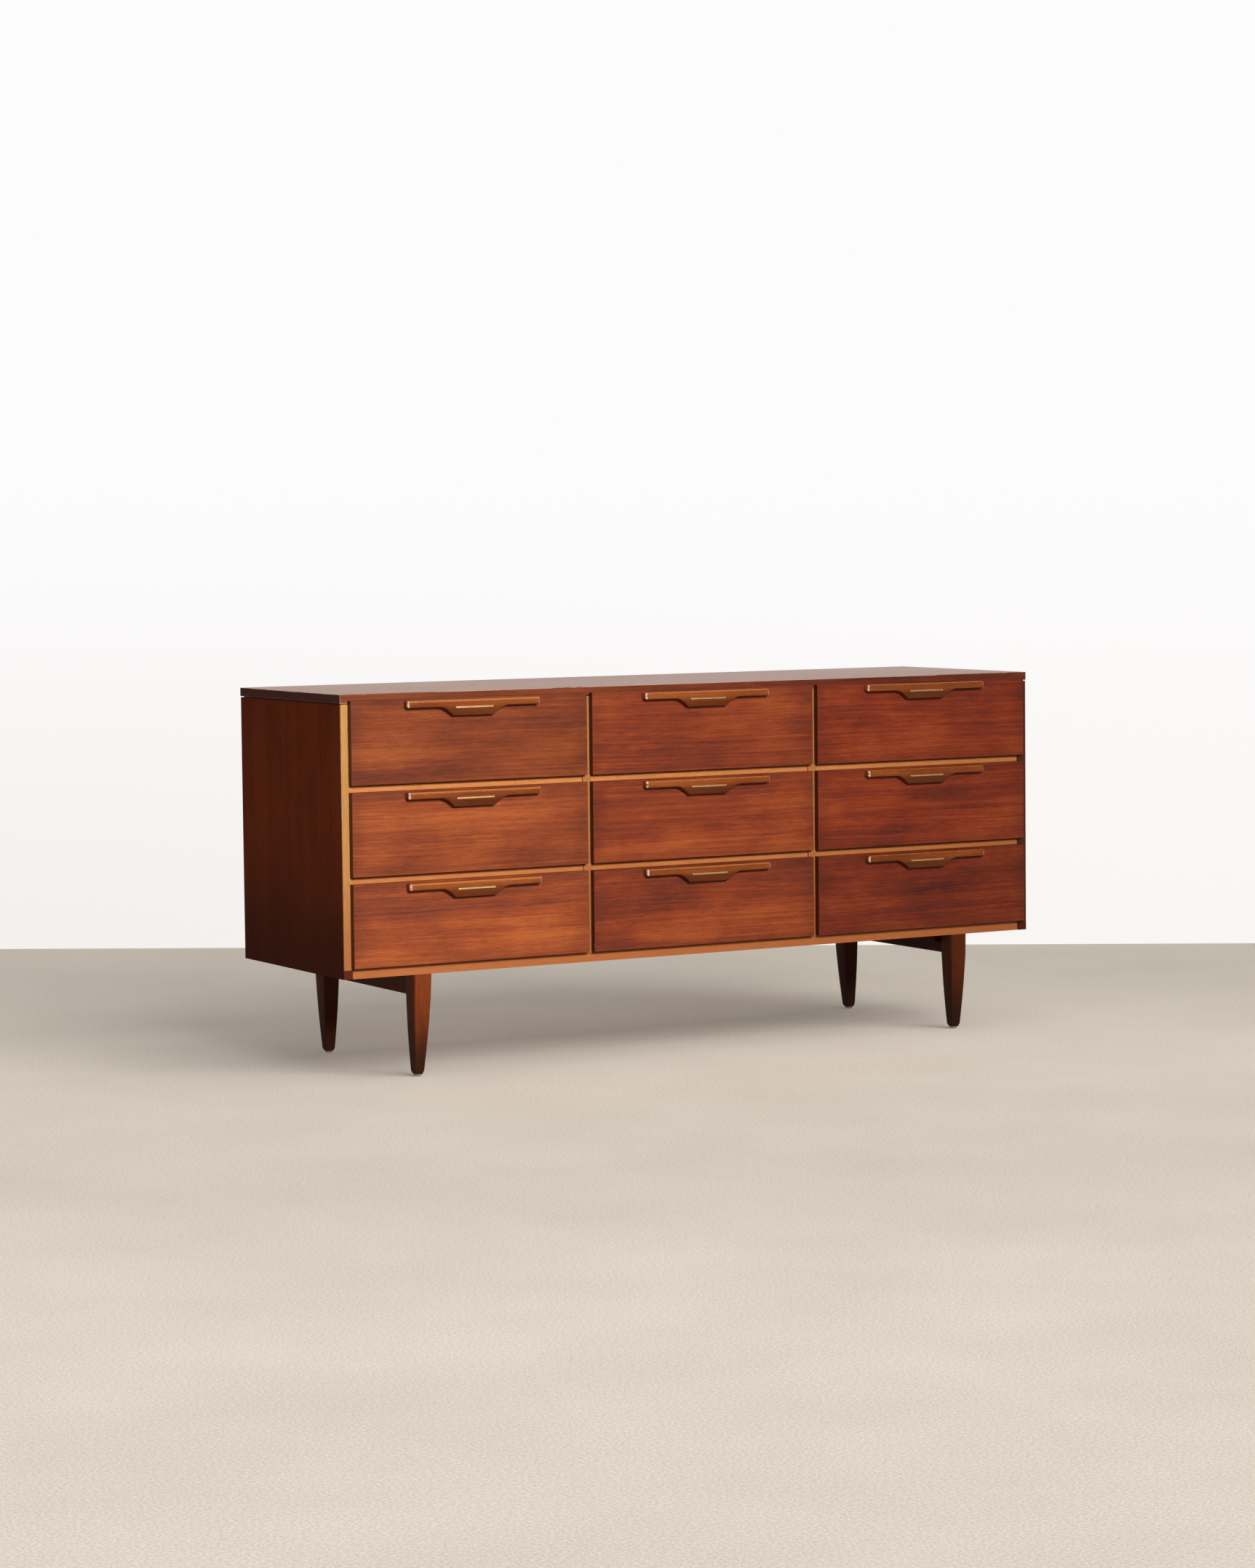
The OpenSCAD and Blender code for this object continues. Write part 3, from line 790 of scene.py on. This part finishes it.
def finish_pale_strips():
    upright = wood("lipping_wood", GRAIN_Z, 25, LIPPING_TONES, figure=0.8, shade=lipping_stain)
    arris = worn_edge("lipping_arris", GRAIN_Z, 27, EDGE_TONES[1], RUBBED_LIPPING, shade=lipping_stain)
    finish_board("edge_lippings", upright, arris, 0.7 * MM)
    level = wood("rail_wood", GRAIN_X, 26, EDGE_TONES, figure=0.8, shade=fade_to_right)
    for node in ("bottom_panel", "front_rails"):
        finish_board(node, level, None, 0.6 * MM)


def finish_leg_frames():
    leg_settings = {"shade": leg_tint_and_shade, "specular": SLIGHT_SHINE}
    leg = wood("leg_timber", GRAIN_Z, 30, LEG_TONES, roughness=0.50, **leg_settings)
    for node in ("leg_front_left", "leg_front_right", "leg_rear_left", "leg_rear_right"):
        shape_leg(node, leg)
    stretcher = wood("stretcher_timber", GRAIN_Y, 31, LEG_TONES, roughness=0.55, **leg_settings)
    for node in ("stretcher_left", "stretcher_right", "base_cleats"):
        finish_board(node, stretcher, None, 1.5 * MM)


def inlay_brass(key, col):
    """Brass of one inlay, with its reflection painted duller in the columns to the right."""
    low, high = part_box(f"pull_inlay_{key}")
    rim = inlay_edge_shade((low.z + high.z) / 2)
    sheen_tint = [INLAY_PAINTED_SHEEN[col] * part for part in BRASS]
    return metal(f"inlay_brass_{key}", sheen_tint, 0.45, metallic=0.55, shade=rim)


def finish_drawers():
    box_wood = wood("drawer_box_wood", GRAIN_Y, 33, BOX_TONES, figure=1.1, roughness=0.6)
    for col in COLS:
        _, middle, light = FRONT_TONES[col]
        dark = [0.55 * part for part in middle]
        arris = worn_edge(f"front_arris_{col}", GRAIN_X, 34, dark, light, share=0.1, specular=0.1)
        for row in ROWS:
            key = f"{row}_{col}"
            finish_board(f"drawer_front_{key}", front_wood(row, col), arris, 1.0 * MM, 3)
            finish_board(f"drawer_box_{key}", box_wood, None, 0.8 * MM)
            shape_pull(key, pull_wood(key))
            shape_inlay(key, inlay_brass(key, col))


def finish_metal():
    # The glides are steel, darkened further as painted contact shadow.
    shape_glides(metal("glide_metal_and_shade", GLIDE_STEEL_AND_SHADE, 0.30, 0.15))
    steel = metal("screw_metal", SCREW_STEEL, 0.42)
    shape_screws("back_screw_heads", "back_screws", 1, steel)
    shape_screws("leg_screw_heads", "leg_screws", -1, steel)


# ---- Studio ----

WALL_AT = (0.905, 1.693)
WALL_ALONG = (0.839, -0.544)
WALL_HEIGHT = 8
FLOOR_REACH = 12
AWAY = (0.50, 0.87)


def make_floor():
    """Pale floor with a fine speckle. Painted light and shade make it a little lighter in front and darker
    towards the wall.
    """
    mesh = bpy.data.meshes.new("studio_floor")
    r = FLOOR_REACH
    mesh.from_pydata([(-r, -r, 0), (r, -r, 0), (r, r, 0), (-r, r, 0)], [], [(0, 1, 2, 3)])
    floor = bpy.data.objects.new("studio_floor", mesh)
    bpy.context.scene.collection.objects.link(floor)
    tree = Tree("floor_finish")
    place = tree.place()
    cloud = tree.noise(place, detail=5.0, roughness=0.6, scale=2.6)
    speckle = tree.noise(place, detail=2.0, roughness=0.7, scale=210.0)
    colour = tree.ramp(cloud, ((0.30, (0.56, 0.500, 0.430)), (0.70, (0.60, 0.540, 0.470))))
    colour = tree.mix(1.0, colour, tree.rescale(speckle, 0.3, 0.7, 0.84, 1.10), "MULTIPLY")
    x, y, _ = tree.split(place)
    # Painted light and shade: lighter in front, darker towards the wall.
    away = tree.plus(tree.times(x, AWAY[0]), tree.times(y, AWAY[1]))
    colour = tree.mix(1.0, colour, tree.rescale(away, -0.4, 1.4, 1.0, 0.82), "MULTIPLY")
    colour = tree.mix(1.0, colour, tree.rescale(away, -3.0, -1.6, 1.08, 0.97), "MULTIPLY")
    gloss = tree.rescale(cloud, 0.3, 0.7, 0.72, 0.80)
    mesh.materials.append(tree.finish(colour, gloss, speckle, 0.4 * MM, Specular_IOR_Level=0.1))
    floor.visible_diffuse = False
    return floor


def make_wall():
    """Pale wall behind the piece. Seen from its back it is clear, so that rear views aren't blocked."""
    mesh = bpy.data.meshes.new("studio_wall")
    ends = [tuple(WALL_AT[k] + s * FLOOR_REACH * WALL_ALONG[k] for k in (0, 1)) for s in (-1, 1)]
    corners = [(*ends[0], 0), (*ends[1], 0), (*ends[1], WALL_HEIGHT), (*ends[0], WALL_HEIGHT)]
    mesh.from_pydata(corners, [], [(0, 1, 2, 3)])
    wall = bpy.data.objects.new("studio_wall", mesh)
    bpy.context.scene.collection.objects.link(wall)
    tree = Tree("wall_finish")
    x, _, z = tree.split(tree.place())
    # Painted shade: the glow is darker and warmer low down, and more so to the left.
    low = tree.mix(tree.rescale(x, -0.5, 2.3), (0.905, 0.872, 0.847, 1), (0.955, 0.922, 0.897, 1))
    paint = tree.mix(tree.rescale(z, 0.0, 1.3), low, (0.98, 0.973, 0.98, 1))
    glow = tree.add("ShaderNodeEmission", {"Color": paint})
    clear = tree.add("ShaderNodeBsdfTransparent")
    behind = tree.add("ShaderNodeNewGeometry").outputs["Backfacing"]
    both = tree.add("ShaderNodeMixShader", {0: behind, 1: glow.outputs[0], 2: clear.outputs[0]})
    tree.put(tree.nodes["Material Output"].inputs["Surface"], both.outputs[0])
    mesh.materials.append(tree.material)
    wall.visible_diffuse = False
    wall.visible_glossy = False
    wall.visible_shadow = False


def add_softbox(name, at, aim, size, power, colour, spread):
    data = bpy.data.lights.new(name, "AREA")
    data.shape = "RECTANGLE"
    data.size, data.size_y = size
    data.energy = power
    data.color = colour
    data.spread = math.radians(spread)
    light = bpy.data.objects.new(name, data)
    light.location = at
    light.rotation_euler = (Vector(aim) - Vector(at)).to_track_quat("-Z", "Y").to_euler()
    light.visible_camera = False
    bpy.context.scene.collection.objects.link(light)
    return light


def link_light(light, floor, on_floor):
    """The light falls on the floor alone, or on all but the floor."""
    group = bpy.data.collections.new(f"{light.name}_receivers")
    group.objects.link(floor)
    light.light_linking.receiver_collection = group
    group.collection_objects[0].light_linking.link_state = "INCLUDE" if on_floor else "EXCLUDE"


def add_floor_light(name, towards, angle, strength, floor, shadow=True):
    data = bpy.data.lights.new(name, "SUN")
    data.use_shadow = shadow
    data.angle = math.radians(angle)
    data.energy = strength
    light = bpy.data.objects.new(name, data)
    light.rotation_euler = Vector(towards).to_track_quat("-Z", "Y").to_euler()
    bpy.context.scene.collection.objects.link(light)
    link_light(light, floor, True)


ROOM_SEEN = (0.96, 0.957, 0.953, 1)
ROOM_LIGHT = (1.0, 0.98, 0.96, 1)
ROOM_STRENGTH = 0.12
KEY_COLOUR = (1.0, 0.97, 0.93)
BOUNCE_COLOUR = (1.0, 0.86, 0.77)
FILL_COLOUR = (1.0, 0.84, 0.70)
SOFTBOXES = (
    ("key", (-1.2, -6.0, 2.6), (-0.7, -0.2, 0.50), (1.0, 1.0), 71, KEY_COLOUR, 80),
    ("wall_bounce", (1.0, 1.9, 1.4), (0.1, 0.5, 0.6), (3.6, 2.4), 49, BOUNCE_COLOUR, 180),
    ("left_fill", (-5.0, -2.6, 1.2), (-0.2, -0.3, 0.6), (0.7, 2.2), 9.5, FILL_COLOUR, 180),
)


def light_studio(floor):
    """Softboxes light the piece, and suns light the floor, so that each has its own brightness."""
    for softbox in SOFTBOXES:
        link_light(add_softbox(*softbox), floor, False)
    add_floor_light("floor_base", (0, 0, -1), 10, 0.9, floor, shadow=False)
    add_floor_light("floor_high", (-0.35, 0.6, -1.1), 85, 1.4, floor)
    add_floor_light("floor_low", (-0.25, 1.0, -0.42), 60, 3.7, floor)


def make_world():
    """The camera sees a white room, while the piece gets only a weak, even light from it."""
    world = bpy.data.worlds.new("studio")
    bpy.context.scene.world = world
    world.use_nodes = True
    nodes, links = world.node_tree.nodes, world.node_tree.links
    seen = nodes.new("ShaderNodeBackground")
    seen.inputs[0].default_value = ROOM_SEEN
    lit = nodes["Background"]
    lit.inputs[0].default_value = ROOM_LIGHT
    lit.inputs[1].default_value = ROOM_STRENGTH
    ray = nodes.new("ShaderNodeLightPath")
    choose = nodes.new("ShaderNodeMixShader")
    links.new(ray.outputs["Is Camera Ray"], choose.inputs[0])
    links.new(lit.outputs[0], choose.inputs[1])
    links.new(seen.outputs[0], choose.inputs[2])
    links.new(choose.outputs[0], nodes["World Output"].inputs[0])
    bpy.context.scene.view_settings.view_transform = "Standard"


make_camera()
make_wall()
light_studio(make_floor())
make_world()
finish_top()
finish_sides()
finish_inside()
finish_pale_strips()
finish_leg_frames()
finish_drawers()
finish_metal()
